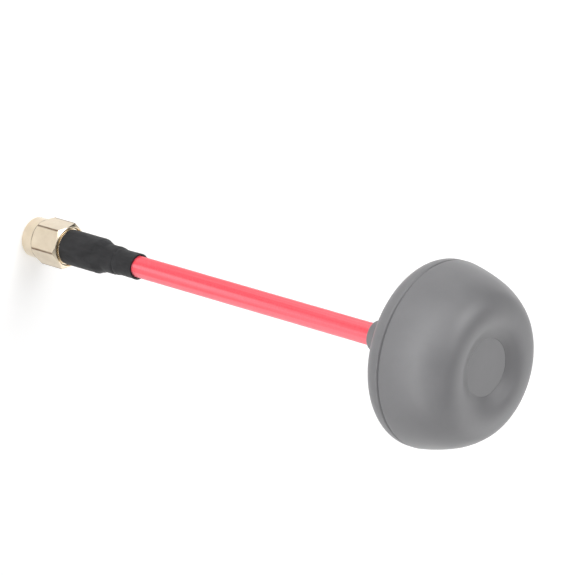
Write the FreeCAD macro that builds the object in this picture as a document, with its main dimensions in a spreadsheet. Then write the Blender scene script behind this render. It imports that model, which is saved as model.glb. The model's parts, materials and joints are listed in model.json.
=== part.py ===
import FreeCAD, Part
import Sketcher
import math
import os
import re

# Mushroom antenna: coaxial plug with coupling nut, rigid coaxial stem, plastic radome
#
# The z axis runs along the antenna, from the plug's open end towards the crown of the dome.
# The origin is the centre of the coupling nut's front face. Sizes are in millimetres and degrees.
# Nearly every piece is turned, so most of them are an outline in the XZ plane revolved about z.

DRIVING_SIZES = [
    # coupling nut, a quarter-inch 36-pitch thread with 8 mm flats
    ("NutLength", 9.4, "front face to rear face"),
    ("NutFlats", 8.0, "across the flats of the hexagon"),
    ("NutCollarRadius", 3.96, "round collar in front of the hexagon"),
    ("NutCollarLength", 2.75, "front face to the start of the hexagon"),
    ("NutFrontRound", 0.5, "rounding of the collar's front edge"),
    ("NutFrontBevel", 50.0, "slope of the bevel on the corners in front"),
    ("NutRearBevel", 35.0, "slope of the bevel on the corners at the rear"),
    ("NutRearFaceRadius", 3.85, "flat ring of the rear face"),
    ("NutBoreRadius", 2.86, "bore left by the thread's crests"),
    ("NutMouthBevel", 0.35, "lead-in of the thread"),
    ("NutRunningClearance", 0.07, "between the bore and the body's shank"),
    ("NutEndClearance", 0.2, "between the rear face and the body's barrel"),
    # spring ring that keeps the nut on the body
    ("RingThickness", 0.5, "along the axis"),
    ("RingRadialWidth", 0.65, "outer radius less inner radius"),
    ("RingShoulder", 0.95, "from the body's shoulder to the ring's grooves"),
    ("RingSideClearance", 0.1, "each side of the ring in both grooves"),
    ("RingFloorClearance", 0.05, "between the ring and each groove's floor"),
    ("RingGapAngle", 28.0, "split of the ring"),
    # connector body, insulator and centre contact
    ("ReferenceDepth", 2.9, "contact plane below the nut's front face"),
    ("ShellRadius", 2.3, "outer contact that enters the socket"),
    ("ShellLength", 2.05, "free length of the outer contact"),
    ("GasketSeatRadius", 2.5, "boss that carries the gasket"),
    ("GasketThickness", 0.6, "along the axis"),
    ("GasketRadius", 2.74, "outside of the gasket"),
    ("BeadRadius", 2.05, "outside of the insulating bead"),
    ("BeadLength", 6.3, "along the axis"),
    ("PinRadius", 0.46, "free end of the centre contact"),
    ("PinRootRadius", 0.635, "centre contact in the bead"),
    ("PinProjection", 2.3, "beyond the contact plane"),
    ("PinTipBevel", 0.28, "length and drop of the tip's bevel"),
    ("PinCupDepth", 2.0, "cup that takes the coax's inner conductor"),
    ("PinLength", 8.3, "tip to the mouth of the cup"),
    ("BarrelRadius", 2.98, "rear barrel of the body"),
    ("BarrelLength", 8.5, "along the axis"),
    ("FerruleRadius", 2.29, "outside of the ferrule on the coax"),
    ("FerruleSeat", 3.5, "length of the ferrule inside the barrel"),
    ("FerruleLength", 8.0, "along the axis"),
    ("SolderLength", 0.7, "solder fillet at the ferrule's end"),
    # coaxial line, a 0.141 inch rigid line with a coloured sheath
    ("CoaxRadius", 1.79, "outside of the outer conductor"),
    ("DielectricRadius", 1.49, "outside of the dielectric"),
    ("ConductorRadius", 0.46, "inner conductor"),
    ("SheathRadius", 2.05, "outside of the coloured sheath"),
    ("SheathSetback", 0.1, "gap from the solder to the sheath's end"),
    # shrink sleeve over the barrel, the ferrule and the start of the sheath
    ("SleeveWall", 0.42, "thickness when shrunk"),
    ("SleeveEnd", 27.95, "mouth of the sleeve above the front face"),
    ("SleeveDrop", 1.9, "length of the fall from barrel to ferrule"),
    ("SleeveFall", 1.2, "length of the fall from ferrule to sheath"),
    ("SleeveLipGap", 0.14, "gap between the cut lip and the sheath"),
    ("SleeveLipLength", 0.56, "length of the lip that stands off the sheath"),
    # radome
    ("PartingHeight", 102.0, "parting line above the front face"),
    ("DomeWall", 1.3, "wall of both halves"),
    ("PartingBevel", 0.18, "bevel each side of the parting line"),
    ("CapSkirt", 0.35, "straight start of the dome"),
    ("HaunchBend", 13.5, "radius of the upper flank"),
    ("CrownBend", 5.2, "radius of the rolled crown"),
    ("FlankLean", 9.0, "lean of the dome's side where it starts"),
    ("HaunchLean", 19.0, "lean where the upper flank starts"),
    ("CrownLean", 37.0, "lean where the rolled crown starts"),
    ("DishSlope", 25.0, "slope of the dished crown's side"),
    ("DishFloorRadius", 5.3, "flat centre of the dish"),
    ("DishFloorStep", 0.12, "drop of the flat centre"),
    ("RimSkirt", 0.85, "straight side of the base below the parting line"),
    ("KeelSlope", 23.0, "slope of the underside"),
    ("BossLength", 6.35, "boss for the stem, below the underside"),
    ("BossEndRadius", 2.85, "boss at its end"),
    ("BossRootRadius", 3.3, "boss where it meets the underside"),
    ("BossRootFillet", 0.8, "blend of the boss into the underside"),
    ("BossEndBevel", 0.2, "edge of the boss"),
    ("FloorRadius", 4.6, "flat floor inside, round the stem"),
    ("SpigotHeight", 1.0, "lip of the base inside the dome"),
    ("SpigotWall", 0.7, "thickness of the lip"),
    ("SpigotLead", 0.3, "taper of the lip"),
    ("SpigotClearance", 0.04, "between the lip and the dome"),
    ("AdhesiveHeight", 1.3, "bead of adhesive round the stem"),
    ("AdhesiveRadius", 3.9, "foot of the bead"),
    # radiating element: wire loops, one wavelength long each at 5.8 GHz
    ("FeedRise", 2.95, "middle of the feed above the parting line"),
    ("LobeCount", 3, "wire loops"),
    ("LobeRadius", 12.4, "length of a leg, quarter of a wavelength"),
    ("LobeHalfAngle", 52.5, "half the opening between two legs"),
    ("LobeTilt", 40.0, "tilt of each loop about its middle"),
    ("LobeBend", 1.3, "bend at the end of a leg"),
    ("WireRadius", 0.4, "wire of the loops"),
    ("LobeRoom", 2.9, "between the loops and the radome's widest wall"),
    ("CrownRoom", 0.83, "between the top of the loops and the crown"),
    ("KeelRoom", 0.27, "between the loops and the underside's wall"),
    ("FeedLegStart", 0.95, "start of the fed leg from the axis"),
    ("ReturnLegStart", 2.4, "start of the returning leg from the axis"),
    ("ShieldSetback", 0.9, "end of the outer conductor below the feed"),
    ("DielectricSetback", 0.4, "end of the dielectric below the feed"),
    ("ConductorRise", 1.6, "end of the inner conductor above the feed"),
    ("FeedSolderRadius", 1.35, "solder on the inner conductor"),
    ("FeedSolderHeight", 1.5, "along the axis"),
    ("ShieldSolderRadius", 2.75, "solder on the outer conductor"),
    ("ShieldSolderHeight", 1.5, "along the axis"),
    ("ShieldSolderLand", 0.5, "straight middle of the joint"),
]

doc = FreeCAD.newDocument("mushroom_antenna")
sheet = doc.addObject("Spreadsheet::Sheet", "Sizes")
for row, (alias, value, meaning) in enumerate(DRIVING_SIZES, start=1):
    sheet.set(f"A{row}", meaning)
    sheet.set(f"B{row}", str(value))
    sheet.setAlias(f"B{row}", alias)
doc.recompute()

# Two points nearer than this are the same point
SAME_PLACE = 1e-4

# Heights and radii that follow from the driving sizes

SHOULDER = "(ReferenceDepth + ShellLength + GasketThickness)"
SHANK_RADIUS = "(NutBoreRadius - NutRunningClearance)"
RING_INNER = "(NutBoreRadius + RingFloorClearance - RingRadialWidth / 2)"
RING_OUTER = "(NutBoreRadius + RingFloorClearance + RingRadialWidth / 2)"
GROOVE_LOW = f"({SHOULDER} + RingShoulder)"
RING_START = f"({GROOVE_LOW} + RingSideClearance)"
RING_END = f"({RING_START} + RingThickness)"
GROOVE_HIGH = f"({RING_END} + RingSideClearance)"
BARREL_START = "(NutLength + NutEndClearance)"
BARREL_END = f"({BARREL_START} + BarrelLength)"
BEAD_END = "(ReferenceDepth + BeadLength)"
PIN_TIP = "(ReferenceDepth - PinProjection)"
PIN_END = f"({PIN_TIP} + PinLength)"
FERRULE_START = f"({BARREL_END} - FerruleSeat)"
FERRULE_END = f"({FERRULE_START} + FerruleLength)"
SHEATH_START = f"({FERRULE_END} + SolderLength + SheathSetback)"

# The radome is sized round the wire loops, with its walls and its rooms added

FEED_HEIGHT = "(PartingHeight + FeedRise)"
LOBE_RISE = "(LobeRadius * sin(LobeHalfAngle) * sin(LobeTilt))"
LOBE_REACH = "(LobeRadius * sqrt(1 - (sin(LobeHalfAngle) * sin(LobeTilt)) ^ 2))"
DOME_RADIUS = "(LobeRadius + WireRadius + LobeRoom + DomeWall)"
DOME_RISE = f"(FeedRise + {LOBE_RISE} + WireRadius + CrownRoom + DomeWall)"
HAUNCH_RISE = "(HaunchBend * (sin(CrownLean) - sin(HaunchLean)))"
CROWN_RISE = "(CrownBend * (1 - sin(CrownLean)))"
FLANK_RISE = f"({DOME_RISE} - CapSkirt - {HAUNCH_RISE} - {CROWN_RISE})"
FLANK_BEND = f"({FLANK_RISE} / (sin(HaunchLean) - sin(FlankLean)))"
KEEL_ROOM = "((WireRadius + KeelRoom + DomeWall) / cos(KeelSlope))"
KEEL_APEX = f"({LOBE_RISE} - FeedRise + {KEEL_ROOM} + {LOBE_REACH} * tan(KeelSlope))"
RIM_RISE = f"({KEEL_APEX} - RimSkirt - {DOME_RADIUS} * tan(KeelSlope))"
RIM_ROUND = f"({RIM_RISE} / (cos(KeelSlope) - (1 - sin(KeelSlope)) * tan(KeelSlope)))"
KEEL_RADIUS = f"({DOME_RADIUS} - {RIM_ROUND} * (1 - sin(KeelSlope)))"
KEEL_HEIGHT = f"(PartingHeight - RimSkirt - {RIM_ROUND} * cos(KeelSlope))"
INNER_KEEL_RADIUS = f"({KEEL_RADIUS} - DomeWall * sin(KeelSlope))"
INNER_KEEL_HEIGHT = f"({KEEL_HEIGHT} + DomeWall * cos(KeelSlope))"
FLOOR_HEIGHT = f"({INNER_KEEL_HEIGHT} - ({INNER_KEEL_RADIUS} - FloorRadius) * tan(KeelSlope))"
SHIELD_END = f"({FEED_HEIGHT} - ShieldSetback)"


def bound(text):
    """Turn the size names in a text into references to the sheet's cells."""
    return re.sub(r"\b[A-Z][A-Za-z]+\b", lambda name: "Sizes." + name.group(), text)


def number(text):
    """Work out a text of size names as a plain number."""
    return float(sheet.evalExpression(bound(text)))


def origin_plane(body, role):
    for feature in body.Origin.OriginFeatures:
        if feature.Role == role:
            return feature
    raise ValueError(role)


def new_body(label):
    body = doc.addObject("PartDesign::Body", label)
    body.Label = label
    return body


def new_sketch(body, name, role):
    sketch = body.newObject("Sketcher::SketchObject", name)
    sketch.AttachmentSupport = [(origin_plane(body, role), "")]
    sketch.MapMode = "FlatFace"
    return sketch


def short_arc(start, end, radius, bulge):
    """Arc shorter than a half turn. A bulge of 1 lies right of the way from start to end, -1 left."""
    chord = end - start
    across = FreeCAD.Vector(chord.y, -chord.x, 0).normalize() * bulge
    rise = math.sqrt(radius**2 - (chord.Length / 2) ** 2)
    centre = (start + end) / 2 - across * rise
    first, last = (start, end) if bulge > 0 else (end, start)
    angles = [math.atan2(point.y - centre.y, point.x - centre.x) for point in (first, last)]
    if angles[1] < angles[0]:
        angles[1] += 2 * math.pi
    circle = Part.Circle(centre, FreeCAD.Vector(0, 0, 1), radius)
    return Part.ArcOfCircle(circle, angles[0], angles[1])


def pin_coordinate(sketch, kind, axis, segment, end, text):
    """Hold one coordinate of a corner at a size, or on the axis."""
    if text == "0":
        sketch.addConstraint(Sketcher.Constraint("PointOnObject", segment, end, axis))
        return
    if text.startswith("-"):
        text = text[1:]
        parts = (kind, segment, end, -1, 1, number(text))
    else:
        parts = (kind, -1, 1, segment, end, number(text))
    index = sketch.addConstraint(Sketcher.Constraint(*parts))
    sketch.setExpression(f"Constraints[{index}]", bound(text))


def draw_outline(sketch, corners, bends=None, closed=True):
    """Draw corners joined by lines, or by an arc where bends names the corner that starts it."""
    bends = bends or {}
    points = [FreeCAD.Vector(number(x), number(y), 0) for x, y in corners]
    count = len(corners) if closed else len(corners) - 1
    ends = []
    for index in range(count):
        start = points[index]
        end = points[(index + 1) % len(points)]
        if index in bends:
            radius, bulge = bends[index]
            segment = sketch.addGeometry(short_arc(start, end, number(radius), bulge), False)
            ends.append((1, 2) if bulge > 0 else (2, 1))
            held = sketch.addConstraint(Sketcher.Constraint("Radius", segment, number(radius)))
            sketch.setExpression(f"Constraints[{held}]", bound(radius))
        else:
            sketch.addGeometry(Part.LineSegment(start, end), False)
            ends.append((1, 2))
    for index in range(count if closed else count - 1):
        follower = (index + 1) % count
        joint = ("Coincident", index, ends[index][1], follower, ends[follower][0])
        sketch.addConstraint(Sketcher.Constraint(*joint))
    for index, (x, y) in enumerate(corners):
        segment, end = (index, ends[index][0]) if index < count else (count - 1, ends[-1][1])
        pin_coordinate(sketch, "DistanceX", -2, segment, end, x)
        pin_coordinate(sketch, "DistanceY", -1, segment, end, y)


def turned_body(label, corners, bends=None, angle="360"):
    """Revolve an outline of (radius, height) corners about z."""
    body = new_body(label)
    sketch = new_sketch(body, f"{label}_outline", "XZ_Plane")
    draw_outline(sketch, corners, bends)
    turn = body.newObject("PartDesign::Revolution", f"{label}_turned")
    turn.Profile = sketch
    turn.ReferenceAxis = (sketch, ["V_Axis"])
    turn.setExpression("Angle", bound(angle))
    doc.recompute()
    return body


def tube(label, inner, outer, low, high, angle="360"):
    return turned_body(label, [(inner, low), (outer, low), (outer, high), (inner, high)], angle=angle)


def edge_circle(shape, radius, height):
    """Name the circular edge of a radius at a height."""
    for index, edge in enumerate(shape.Edges, start=1):
        if not isinstance(edge.Curve, Part.Circle):
            continue
        off = abs(edge.Curve.Radius - radius) + abs(edge.Curve.Center.z - height)
        if off < SAME_PLACE:
            return f"Edge{index}"
    raise ValueError(f"no edge of radius {radius} at {height}")


def blend(body, radius, places):
    """Fillet the circular edges at the given (radius, height) places."""
    fillet = body.newObject("PartDesign::Fillet", f"{body.Label}_blend")
    base = fillet.BaseFeature
    names = [edge_circle(base.Shape, number(r), number(z)) for r, z in places]
    fillet.Base = (base, names)
    fillet.setExpression("Radius", bound(radius))
    doc.recompute()


def make_nut():
    """Turn the outside, the bore and the ring's groove, then mill the six flats."""
    corner = "(NutFlats / sqrt(3))"
    rise = f"(({corner} - NutCollarRadius) * tan(NutFrontBevel))"
    fall = f"(({corner} - NutRearFaceRadius) * tan(NutRearBevel))"
    groove_radius = f"({RING_OUTER} + RingFloorClearance)"
    body = turned_body(
        "coupling_nut",
        [
            ("NutBoreRadius + NutMouthBevel", "0"),
            ("NutCollarRadius - NutFrontRound", "0"),
            ("NutCollarRadius", "NutFrontRound"),
            ("NutCollarRadius", "NutCollarLength"),
            (corner, f"NutCollarLength + {rise}"),
            (corner, f"NutLength - {fall}"),
            ("NutRearFaceRadius", "NutLength"),
            ("NutBoreRadius", "NutLength"),
            ("NutBoreRadius", GROOVE_HIGH),
            (groove_radius, GROOVE_HIGH),
            (groove_radius, GROOVE_LOW),
            ("NutBoreRadius", GROOVE_LOW),
            ("NutBoreRadius", "NutMouthBevel"),
        ],
        {1: ("NutFrontRound", 1)},
    )
    turned_volume = body.Shape.Volume
    sketch = new_sketch(body, "nut_flats", "XY_Plane")
    sketch.setExpression("AttachmentOffset.Base.z", bound("NutCollarLength"))
    centre = FreeCAD.Vector(0, 0, 0)
    upward = FreeCAD.Vector(0, 0, 1)
    radius = number(corner)
    stock = sketch.addGeometry(Part.Circle(centre, upward, 2 * radius), False)
    guide = sketch.addGeometry(Part.Circle(centre, upward, radius), True)
    for circle, text in ((stock, f"2 * {corner}"), (guide, corner)):
        sketch.addConstraint(Sketcher.Constraint("Coincident", circle, 3, -1, 1))
        held = sketch.addConstraint(Sketcher.Constraint("Radius", circle, number(text)))
        sketch.setExpression(f"Constraints[{held}]", bound(text))
    turns = [math.radians(60 * index) for index in range(7)]
    points = [FreeCAD.Vector(radius * math.cos(a), radius * math.sin(a), 0) for a in turns]
    sides = [sketch.addGeometry(Part.LineSegment(*pair), False) for pair in zip(points, points[1:])]
    for index, side in enumerate(sides):
        follower = sides[(index + 1) % len(sides)]
        sketch.addConstraint(Sketcher.Constraint("Coincident", side, 2, follower, 1))
        sketch.addConstraint(Sketcher.Constraint("PointOnObject", side, 1, guide))
    for side in sides[1:]:
        sketch.addConstraint(Sketcher.Constraint("Equal", sides[0], side))
    sketch.addConstraint(Sketcher.Constraint("PointOnObject", sides[0], 1, -1))
    flats = body.newObject("PartDesign::Pocket", "nut_milled")
    flats.Profile = sketch
    flats.Type = "ThroughAll"
    flats.Reversed = True
    doc.recompute()
    if body.Shape.Volume >= turned_volume:
        raise ValueError("the flats of the nut aren't cut")
    return body


def make_plug():
    """Body, spring ring, gasket, bead, centre contact, ferrule and its solder."""
    groove_radius = f"({RING_INNER} - RingFloorClearance)"
    body = turned_body(
        "connector_body",
        [
            ("BeadRadius", "ReferenceDepth"),
            ("ShellRadius", "ReferenceDepth"),
            ("ShellRadius", "ReferenceDepth + ShellLength"),
            ("GasketSeatRadius", "ReferenceDepth + ShellLength"),
            ("GasketSeatRadius", SHOULDER),
            (SHANK_RADIUS, SHOULDER),
            (SHANK_RADIUS, GROOVE_LOW),
            (groove_radius, GROOVE_LOW),
            (groove_radius, GROOVE_HIGH),
            (SHANK_RADIUS, GROOVE_HIGH),
            (SHANK_RADIUS, BARREL_START),
            ("BarrelRadius", BARREL_START),
            ("BarrelRadius", BARREL_END),
            ("FerruleRadius", BARREL_END),
            ("FerruleRadius", FERRULE_START),
            ("CoaxRadius", FERRULE_START),
            ("CoaxRadius", BEAD_END),
            ("BeadRadius", BEAD_END),
        ],
    )
    ring_angle = "360 - RingGapAngle"
    ring = tube("nut_retaining_ring", RING_INNER, RING_OUTER, RING_START, RING_END, ring_angle)
    gasket_low = "ReferenceDepth + ShellLength"
    gasket = tube("nut_gasket", "GasketSeatRadius", "GasketRadius", gasket_low, SHOULDER)
    bead = tube("connector_insulator", "PinRootRadius", "BeadRadius", "ReferenceDepth", BEAD_END)
    pin = turned_body(
        "centre_pin",
        [
            ("0", PIN_TIP),
            ("PinRadius - PinTipBevel", PIN_TIP),
            ("PinRadius", f"{PIN_TIP} + PinTipBevel"),
            ("PinRadius", "ReferenceDepth"),
            ("PinRootRadius", "ReferenceDepth"),
            ("PinRootRadius", PIN_END),
            ("ConductorRadius", PIN_END),
            ("ConductorRadius", f"{PIN_END} - PinCupDepth"),
            ("0", f"{PIN_END} - PinCupDepth"),
        ],
    )
    ferrule = tube("cable_ferrule", "CoaxRadius", "FerruleRadius", FERRULE_START, FERRULE_END)
    solder = turned_body(
        "ferrule_solder",
        [
            ("CoaxRadius", FERRULE_END),
            ("FerruleRadius", FERRULE_END),
            ("CoaxRadius", f"{FERRULE_END} + SolderLength"),
        ],
    )
    return [body, ring, gasket, bead, pin, ferrule, solder]


def make_line():
    """Coaxial line from the plug to the feed, and its coloured sheath."""
    conductor_top = f"{FEED_HEIGHT} + ConductorRise"
    inner = tube("coax_inner", "0", "ConductorRadius", f"{PIN_END} - PinCupDepth", conductor_top)
    dielectric_top = f"{FEED_HEIGHT} - DielectricSetback"
    dielectric = tube("coax_dielectric", "ConductorRadius", "DielectricRadius", BEAD_END, dielectric_top)
    shield = tube("coax_shield", "DielectricRadius", "CoaxRadius", BEAD_END, SHIELD_END)
    sheath = tube("stem_sheath", "CoaxRadius", "SheathRadius", SHEATH_START, FLOOR_HEIGHT)
    return [inner, dielectric, shield, sheath]


def make_sleeve():
    """Shrink sleeve: its inside follows the barrel, the ferrule and the sheath."""
    inside = [
        ("BarrelRadius", BARREL_START),
        ("BarrelRadius", BARREL_END),
        ("FerruleRadius", f"{BARREL_END} + SleeveDrop"),
        ("FerruleRadius", FERRULE_END),
        ("SheathRadius", f"{FERRULE_END} + SleeveFall"),
        ("SheathRadius", "SleeveEnd - SleeveLipLength"),
        ("SheathRadius + SleeveLipGap", "SleeveEnd"),
    ]
    outside = [(f"{radius} + SleeveWall", height) for radius, height in inside[:-1]]
    outside.append(("SheathRadius + SleeveWall", "SleeveEnd"))
    return turned_body("heat_shrink_sleeve", inside + outside[::-1])


def arc_end(start, bend, lean, next_lean):
    """End of an arc that leans inwards from one angle to the next as it rises."""
    radius = f"({start[0]} - {bend} * (cos({lean}) - cos({next_lean})))"
    height = f"({start[1]} + {bend} * (sin({next_lean}) - sin({lean})))"
    return radius, height


def inwards(point, lean):
    """The point one wall inside the dome, where its side has the given lean."""
    return f"({point[0]} - DomeWall * cos({lean}))", f"({point[1]} - DomeWall * sin({lean}))"


def make_cap():
    """Dome: leaning flanks that roll over a crown into a shallow dish with a flat centre."""
    leans = ["FlankLean", "HaunchLean", "CrownLean", "(90 + DishSlope)"]
    bends = [FLANK_BEND, "HaunchBend", "CrownBend"]
    outer = [(DOME_RADIUS, "(PartingHeight + CapSkirt)")]
    for bend, lean, next_lean in zip(bends, leans, leans[1:]):
        outer.append(arc_end(outer[-1], bend, lean, next_lean))
    inner = [inwards(point, lean) for point, lean in zip(outer, leans)]
    dish_radius, dish_height = outer[-1]
    dish_foot = f"({dish_height} - ({dish_radius} - DishFloorRadius) * tan(DishSlope))"
    dish_floor = f"({dish_foot} - DishFloorStep)"
    ceiling = f"({dish_floor} - DomeWall)"
    ceiling_radius = f"({inner[-1][0]} - ({inner[-1][1]} - {ceiling}) / tan(DishSlope))"
    corners = [
        (inner[0][0], "PartingHeight"),
        (f"{DOME_RADIUS} - PartingBevel", "PartingHeight"),
        (DOME_RADIUS, "PartingHeight + PartingBevel"),
        *outer,
        ("DishFloorRadius", dish_foot),
        ("DishFloorRadius", dish_floor),
        ("0", dish_floor),
        ("0", ceiling),
        (ceiling_radius, ceiling),
        *inner[::-1],
    ]
    curves = {}
    for step, bend in enumerate(bends):
        curves[3 + step] = (bend, 1)
        curves[len(corners) - 2 - step] = (f"{bend} - DomeWall", -1)
    return turned_body("radome_cap", corners, curves)


def make_base():
    """Base: boss for the stem, sloping underside, rounded rim and the lip that enters the dome."""
    boss_root = f"({KEEL_HEIGHT} - ({KEEL_RADIUS} - BossRootRadius) * tan(KeelSlope))"
    boss_end = f"({boss_root} - BossLength)"
    spigot = f"({DOME_RADIUS} - DomeWall * cos(FlankLean) - SpigotClearance)"
    spigot_inner = f"({spigot} - SpigotLead - SpigotWall)"
    wall_foot = f"({INNER_KEEL_HEIGHT} + ({spigot_inner} - {INNER_KEEL_RADIUS}) * tan(KeelSlope))"
    body = turned_body(
        "radome_base",
        [
            ("SheathRadius", boss_end),
            ("BossEndRadius - BossEndBevel", boss_end),
            ("BossEndRadius", f"{boss_end} + BossEndBevel"),
            ("BossRootRadius", boss_root),
            (KEEL_RADIUS, KEEL_HEIGHT),
            (DOME_RADIUS, "PartingHeight - RimSkirt"),
            (DOME_RADIUS, "PartingHeight - PartingBevel"),
            (f"{DOME_RADIUS} - PartingBevel", "PartingHeight"),
            (spigot, "PartingHeight"),
            (f"{spigot} - SpigotLead", "PartingHeight + SpigotHeight"),
            (spigot_inner, "PartingHeight + SpigotHeight"),
            (spigot_inner, wall_foot),
            ("FloorRadius", FLOOR_HEIGHT),
            ("SheathRadius", FLOOR_HEIGHT),
        ],
        {4: (RIM_ROUND, 1)},
    )
    blend(body, "BossRootFillet", [("BossRootRadius", boss_root)])
    return body


def make_adhesive():
    """Bead that fixes the stem on the floor of the base."""
    return turned_body(
        "boss_adhesive",
        [
            ("CoaxRadius", FLOOR_HEIGHT),
            ("AdhesiveRadius", FLOOR_HEIGHT),
            ("CoaxRadius", f"{FLOOR_HEIGHT} + AdhesiveHeight"),
        ],
    )


def make_lobe(index):
    """One wire loop: a fed leg, an arc and a returning leg, tilted about its middle."""
    label = f"radiator_lobe_{index + 1}"
    body = new_body(label)
    path = new_sketch(body, f"{label}_path", "XY_Plane")
    reach = "sqrt((LobeRadius - LobeBend) ^ 2 - LobeBend ^ 2)"
    turn = "(LobeHalfAngle - asin(LobeBend / (LobeRadius - LobeBend)) / (1 deg))"
    fed = [
        ("FeedLegStart * cos(LobeHalfAngle)", "FeedLegStart * sin(LobeHalfAngle)"),
        (f"{reach} * cos(LobeHalfAngle)", f"{reach} * sin(LobeHalfAngle)"),
        (f"LobeRadius * cos({turn})", f"LobeRadius * sin({turn})"),
    ]
    returning = [(x, "-" + y) for x, y in fed[:0:-1]]
    returning.append(("ReturnLegStart * cos(LobeHalfAngle)", "-ReturnLegStart * sin(LobeHalfAngle)"))
    curves = {1: ("LobeBend", -1), 2: ("LobeRadius", -1), 3: ("LobeBend", -1)}
    draw_outline(path, fed + returning, curves, closed=False)
    doc.recompute()
    section = body.newObject("Sketcher::SketchObject", f"{label}_section")
    section.AttachmentSupport = [(path, "Edge1")]
    section.MapMode = "NormalToEdge"
    section.MapPathParameter = 0
    radius = number("WireRadius")
    circle = Part.Circle(FreeCAD.Vector(0, 0, 0), FreeCAD.Vector(0, 0, 1), radius)
    wire = section.addGeometry(circle, False)
    section.addConstraint(Sketcher.Constraint("Coincident", wire, 3, -1, 1))
    held = section.addConstraint(Sketcher.Constraint("Radius", wire, radius))
    section.setExpression(f"Constraints[{held}]", bound("WireRadius"))
    doc.recompute()
    pipe = body.newObject("PartDesign::AdditivePipe", f"{label}_wire")
    pipe.Profile = section
    pipe.Spine = (path, [f"Edge{side}" for side in range(1, 6)])
    about_z = FreeCAD.Rotation(FreeCAD.Vector(0, 0, 1), 360 * index / number("LobeCount"))
    about_middle = FreeCAD.Rotation(FreeCAD.Vector(1, 0, 0), number("LobeTilt"))
    feed = FreeCAD.Vector(0, 0, number(FEED_HEIGHT))
    body.Placement = FreeCAD.Placement(feed, about_z * about_middle)
    doc.recompute()
    return body


def solder_joint(label, corners, wires):
    """A turned lump of solder, cut away where the wires run through it."""
    lump = turned_body(f"{label}_lump", corners)
    joined = doc.addObject("Part::MultiFuse", f"{label}_wires")
    joined.Shapes = wires
    joint = doc.addObject("Part::Cut", label)
    joint.Label = label
    joint.Base = lump
    joint.Tool = joined
    doc.recompute()
    return joint


line = make_line()
lobes = [make_lobe(index) for index in range(int(number("LobeCount")))]
feed_low = f"({FEED_HEIGHT} + ConductorRise - FeedSolderHeight)"
feed_solder = solder_joint(
    "feed_solder",
    [
        ("ConductorRadius", feed_low),
        ("FeedSolderRadius", feed_low),
        ("FeedSolderRadius", f"{feed_low} + FeedSolderHeight / 2"),
        ("ConductorRadius", f"{feed_low} + FeedSolderHeight"),
    ],
    lobes,
)
shield_low = f"({SHIELD_END} - ShieldSolderHeight)"
shield_slope = "((ShieldSolderHeight - ShieldSolderLand) / 2)"
shield_solder = solder_joint(
    "shield_solder",
    [
        ("CoaxRadius", shield_low),
        ("ShieldSolderRadius", f"{shield_low} + {shield_slope}"),
        ("ShieldSolderRadius", f"{SHIELD_END} - {shield_slope}"),
        ("CoaxRadius", SHIELD_END),
    ],
    lobes,
)
pieces = [make_nut(), *make_plug(), *line, make_sleeve(), make_base(), make_cap(), make_adhesive()]
pieces += [*lobes, feed_solder, shield_solder]

# Every object is sound before any file is written
for item in doc.Objects:
    if "Invalid" in item.State or "Error" in item.State:
        raise ValueError(f"{item.Label} is {item.State}")
for piece in pieces:
    if piece.Shape.isNull() or not piece.Shape.isValid() or piece.Shape.Volume <= 0:
        raise ValueError(f"{piece.Label} has no sound shape")

os.makedirs("parts", exist_ok=True)
for piece in pieces:
    piece.Shape.exportStep(f"parts/{piece.Label}.step")
    print(piece.Label, len(piece.Shape.Solids), round(piece.Shape.Volume, 3))
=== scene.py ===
# %% [markdown]
# # A mushroom antenna
#
# The object is a small antenna: a gold plug with a coupling nut, a stiff red stem and a grey
# plastic head shaped like a mushroom. It was drawn as solids first, and those solids are loaded
# here as a fixed frame. This lesson gives them their looks. Every number below is in millimetres
# unless it says otherwise, and the antenna stands upright on its plug, with z along its stem.

import json
import math

import bmesh
import bpy
from mathutils import Matrix, Vector
from mathutils import noise as ripple


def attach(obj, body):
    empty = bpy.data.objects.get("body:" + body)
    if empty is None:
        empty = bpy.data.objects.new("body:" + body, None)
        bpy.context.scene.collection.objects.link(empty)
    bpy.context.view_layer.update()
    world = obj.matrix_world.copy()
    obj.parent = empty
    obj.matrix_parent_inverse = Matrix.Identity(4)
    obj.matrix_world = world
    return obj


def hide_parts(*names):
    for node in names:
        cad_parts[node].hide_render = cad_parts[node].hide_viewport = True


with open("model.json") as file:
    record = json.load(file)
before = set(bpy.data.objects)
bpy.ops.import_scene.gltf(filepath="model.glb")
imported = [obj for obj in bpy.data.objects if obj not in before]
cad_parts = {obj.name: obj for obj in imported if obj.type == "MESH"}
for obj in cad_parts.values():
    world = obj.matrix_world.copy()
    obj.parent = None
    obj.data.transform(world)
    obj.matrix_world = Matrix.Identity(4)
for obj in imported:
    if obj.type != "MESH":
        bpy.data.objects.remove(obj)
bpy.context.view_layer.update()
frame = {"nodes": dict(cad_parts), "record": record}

# %% [markdown]
# ## The camera
#
# The picture was taken from above and beside the antenna, with the camera rolled so that the stem
# runs from the upper left to the lower right. An empty could aim the camera, but a roll is awkward
# that way. So the three directions of the camera are written down: its right, its up, and the
# way back from the object. Together they are the columns of its matrix. The lens is long, because
# a small object is photographed from a distance, and that keeps the perspective flat.

# %% Camera
MM = 0.001
EYE = Vector((-3.839, -530.644, 506.389))
RIGHT = Vector((-0.27480, 0.61547, 0.73871))
UP = Vector((-0.96150, -0.17590, -0.21112))
BACK = RIGHT.cross(UP)
LENS = 237.5

lens_settings = bpy.data.cameras.new("product_camera")
lens_settings.lens = LENS
lens_settings.sensor_width = 36.0
lens_settings.clip_start = 0.01
camera = bpy.data.objects.new("product_camera", lens_settings)
bpy.context.collection.objects.link(camera)
camera.matrix_world = Matrix.Translation(EYE * MM) @ Matrix((RIGHT, UP, BACK)).transposed().to_4x4()
bpy.context.scene.camera = camera
bpy.context.scene.view_settings.view_transform = "Standard"
print("camera distance in metres:", round(camera.location.length, 3))

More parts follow.
